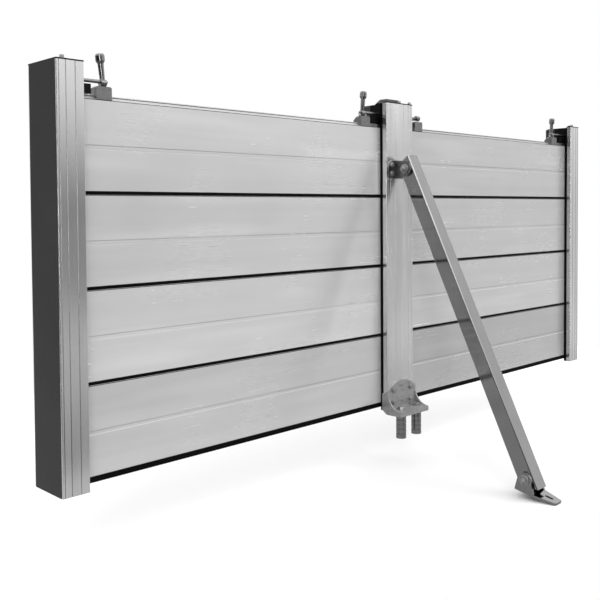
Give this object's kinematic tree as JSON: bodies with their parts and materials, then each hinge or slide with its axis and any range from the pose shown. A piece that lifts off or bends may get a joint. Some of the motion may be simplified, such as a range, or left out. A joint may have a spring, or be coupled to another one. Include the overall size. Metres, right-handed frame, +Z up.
{
  "type": "demountable flood barrier",
  "caption": "Demountable flood barrier: hollow aluminium planks stacked between slotted posts with rubber seals, cam hold-down clamps, an anchor bracket and a hinged square-tube brace.",
  "frame": {"origin": "centre of the middle post's foot, on its underside", "axes": "+X along the barrier to the right in the picture, +Y to the water side, +Z up"},
  "size_m": [2.162, 0.6214, 1.0727],
  "materials": {
    "aluminium": "mill finish, fine lines along the extrusion",
    "rubber": "matt black EPDM",
    "wall_foam": "matt dark grey cellular rubber",
    "stainless": "satin stainless",
    "hardware": "plain steel, slightly dull",
    "cast": "galvanised casting",
    "dark_steel": "black coating, satin",
    "clamp_steel": "machined, satin"
  },
  "bodies": {
    "barrier": {"anchor_bracket": "cast", "brace_mount": "hardware", "brace_top_pin": "hardware", "clamp_blocks": "clamp_steel", "clamp_brackets": "dark_steel", "ground_anchors": "cast", "left_bay_bottom_seal": "rubber", "left_bay_joint_seals": "rubber", "left_bay_plank_1": "aluminium", "left_bay_plank_2": "aluminium", "left_bay_plank_3": "aluminium", "left_bay_plank_4": "aluminium", "left_cap": "dark_steel", "left_post": "aluminium", "left_post_seals": "rubber", "left_wall_gasket": "wall_foam", "middle_cap": "dark_steel", "middle_post": "aluminium", "middle_post_left_seals": "rubber", "middle_post_right_seals": "rubber", "right_bay_bottom_seal": "rubber", "right_bay_joint_seals": "rubber", "right_bay_plank_1": "aluminium", "right_bay_plank_2": "aluminium", "right_bay_plank_3": "aluminium", "right_bay_plank_4": "aluminium", "right_cap": "dark_steel", "right_post": "aluminium", "right_post_seals": "rubber", "right_wall_gasket": "wall_foam"},
    "brace": {"brace_tube": "stainless"},
    "foot": {"brace_foot": "stainless", "brace_foot_pin": "hardware"},
    "left_lever": {"left_clamp_lever": "clamp_steel"},
    "middle_left_lever": {"middle_left_clamp_lever": "clamp_steel"},
    "middle_right_lever": {"middle_right_clamp_lever": "clamp_steel"},
    "right_lever": {"right_clamp_lever": "clamp_steel"}
  },
  "joints": [
    {"name": "brace_pivot", "type": "hinge", "parent": "barrier", "child": "brace", "pos_m": [0, -0.1005, 0.695], "axis": [-1, 0, 0], "range_deg": [0, 60]},
    {"name": "foot_pivot", "type": "hinge", "parent": "brace", "child": "foot", "pos_m": [0, -0.4825, -0.1105], "axis": [1, 0, 0], "range_deg": [-14, 13]},
    {"name": "left_lever_turn", "type": "hinge", "parent": "barrier", "child": "left_lever", "pos_m": [-0.954, -0.024, 0.8535], "axis": [-1, 0, 0], "range_deg": [0, 90]},
    {"name": "middle_left_lever_turn", "type": "hinge", "parent": "barrier", "child": "middle_left_lever", "pos_m": [-0.124, -0.024, 0.8535], "axis": [-1, 0, 0], "range_deg": [0, 90]},
    {"name": "middle_right_lever_turn", "type": "hinge", "parent": "barrier", "child": "middle_right_lever", "pos_m": [0.124, -0.024, 0.8535], "axis": [-1, 0, 0], "range_deg": [-90, 0]},
    {"name": "right_lever_turn", "type": "hinge", "parent": "barrier", "child": "right_lever", "pos_m": [0.936, -0.024, 0.8535], "axis": [-1, 0, 0], "range_deg": [0, 90]}
  ]
}
